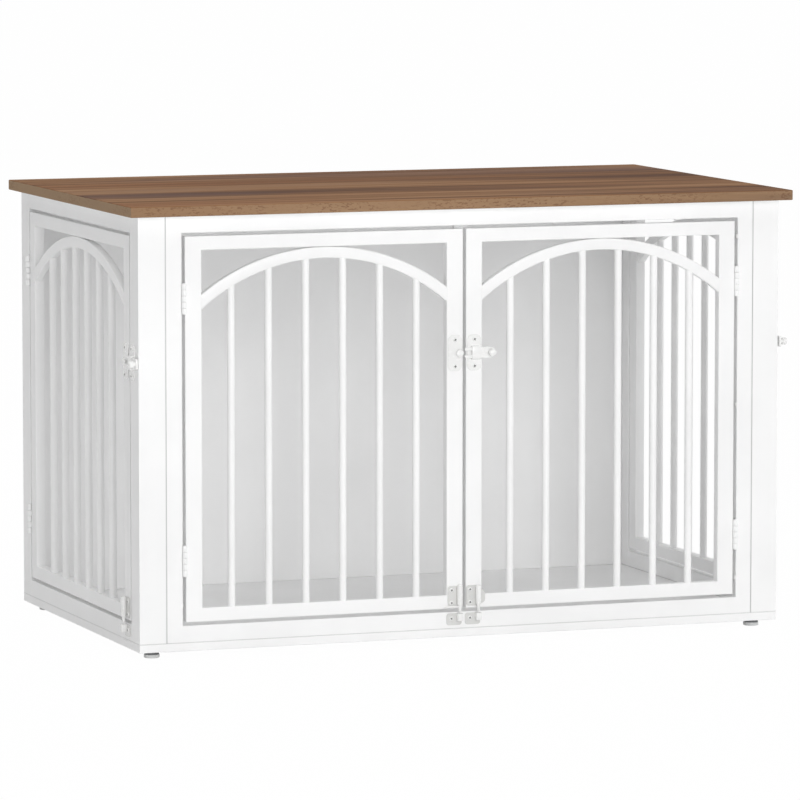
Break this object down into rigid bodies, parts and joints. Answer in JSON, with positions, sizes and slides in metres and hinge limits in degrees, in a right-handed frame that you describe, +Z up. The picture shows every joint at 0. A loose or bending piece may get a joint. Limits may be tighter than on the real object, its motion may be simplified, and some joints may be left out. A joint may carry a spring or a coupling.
{
  "type": "dog crate end table",
  "caption": "White dog crate with a wood-look table top, barred arch doors on butt hinges at the front and both sides, slide latches and drop bolts.",
  "frame": {"origin": "on the floor, under the centre of the top board", "axes": "+X to the right as seen from the front, +Y towards the back, +Z up"},
  "size_m": [1.031, 0.616, 0.657],
  "materials": {
    "wood_top": "brown walnut-look plank grain, satin",
    "white_board": "smooth white painted board, satin",
    "white_steel": "white powder coat",
    "latch_steel": "white enamel on pressed steel, slightly glossy",
    "foot_plastic": "grey moulded plastic"
  },
  "bodies": {
    "cabinet": {"top_board": "wood_top", "base_board": "white_board", "back_panel": "white_board", "front_frame": "white_board", "door_stop": "white_board", "left_front_post": "white_board", "left_rear_post": "white_board", "left_top_rail": "white_board", "left_bottom_rail": "white_board", "left_front_foot": "foot_plastic", "left_rear_foot": "foot_plastic", "left_side_latch_housing": "latch_steel", "right_front_post": "white_board", "right_rear_post": "white_board", "right_top_rail": "white_board", "right_bottom_rail": "white_board", "right_front_foot": "foot_plastic", "right_rear_foot": "foot_plastic", "right_side_latch_housing": "latch_steel", "front_left_door_lower_hinge_frame_leaf": "white_steel", "front_left_door_upper_hinge_frame_leaf": "white_steel", "front_right_door_lower_hinge_frame_leaf": "white_steel", "front_right_door_upper_hinge_frame_leaf": "white_steel", "left_side_door_lower_hinge_frame_leaf": "white_steel", "left_side_door_upper_hinge_frame_leaf": "white_steel", "right_side_door_lower_hinge_frame_leaf": "white_steel", "right_side_door_upper_hinge_frame_leaf": "white_steel", "front_left_bolt_keeper": "latch_steel", "front_right_bolt_keeper": "latch_steel"},
    "front_left_door": {"front_left_door_frame": "white_board", "front_left_door_grille": "white_steel", "front_left_door_lower_hinge_door_leaf": "white_steel", "front_left_door_upper_hinge_door_leaf": "white_steel", "front_latch_stud_plate": "latch_steel", "front_left_bolt_body": "latch_steel"},
    "front_right_door": {"front_right_door_frame": "white_board", "front_right_door_grille": "white_steel", "front_right_door_lower_hinge_door_leaf": "white_steel", "front_right_door_upper_hinge_door_leaf": "white_steel", "front_latch_housing": "latch_steel", "front_right_bolt_body": "latch_steel"},
    "left_side_door": {"left_side_door_frame": "white_board", "left_side_door_grille": "white_steel", "left_side_door_lower_hinge_door_leaf": "white_steel", "left_side_door_upper_hinge_door_leaf": "white_steel", "left_side_latch_stud_plate": "latch_steel", "left_side_bolt_body": "latch_steel"},
    "right_side_door": {"right_side_door_frame": "white_board", "right_side_door_grille": "white_steel", "right_side_door_lower_hinge_door_leaf": "white_steel", "right_side_door_upper_hinge_door_leaf": "white_steel", "right_side_latch_stud_plate": "latch_steel", "right_side_bolt_body": "latch_steel"},
    "front_latch_slider": {"front_latch_bar": "latch_steel"},
    "left_side_latch_slider": {"left_side_latch_bar": "latch_steel"},
    "right_side_latch_slider": {"right_side_latch_bar": "latch_steel"},
    "front_left_bolt": {"front_left_bolt_rod": "latch_steel"},
    "front_right_bolt": {"front_right_bolt_rod": "latch_steel"},
    "left_side_bolt": {"left_side_bolt_rod": "latch_steel"},
    "right_side_bolt": {"right_side_bolt_rod": "latch_steel"}
  },
  "joints": [
    {"name": "front_left_door_hinge", "type": "hinge", "parent": "cabinet", "child": "front_left_door", "pos_m": [-0.432, -0.294, 0.3325], "axis": [0, 0, -1], "range_deg": [0, 165]},
    {"name": "front_right_door_hinge", "type": "hinge", "parent": "cabinet", "child": "front_right_door", "pos_m": [0.432, -0.294, 0.3325], "axis": [0, 0, 1], "range_deg": [0, 165]},
    {"name": "left_side_door_hinge", "type": "hinge", "parent": "cabinet", "child": "left_side_door", "pos_m": [-0.503, 0.2515, 0.3325], "axis": [0, 0, -1], "range_deg": [0, 165]},
    {"name": "right_side_door_hinge", "type": "hinge", "parent": "cabinet", "child": "right_side_door", "pos_m": [0.503, 0.2515, 0.3325], "axis": [0, 0, 1], "range_deg": [0, 165]},
    {"name": "front_latch_slide", "type": "slide", "parent": "front_right_door", "child": "front_latch_slider", "axis": [-1, 0, 0], "range_m": [0, 0.0125]},
    {"name": "left_side_latch_slide", "type": "slide", "parent": "cabinet", "child": "left_side_latch_slider", "axis": [0, 1, 0], "range_m": [0, 0.0125]},
    {"name": "right_side_latch_slide", "type": "slide", "parent": "cabinet", "child": "right_side_latch_slider", "axis": [0, 1, 0], "range_m": [0, 0.0125]},
    {"name": "front_left_bolt_drop", "type": "slide", "parent": "front_left_door", "child": "front_left_bolt", "axis": [0, 0, -1], "range_m": [0, 0.008]},
    {"name": "front_right_bolt_drop", "type": "slide", "parent": "front_right_door", "child": "front_right_bolt", "axis": [0, 0, -1], "range_m": [0, 0.012]},
    {"name": "left_side_bolt_drop", "type": "slide", "parent": "left_side_door", "child": "left_side_bolt", "axis": [0, 0, -1], "range_m": [0, 0.012]},
    {"name": "right_side_bolt_drop", "type": "slide", "parent": "right_side_door", "child": "right_side_bolt", "axis": [0, 0, -1], "range_m": [0, 0.012]}
  ]
}
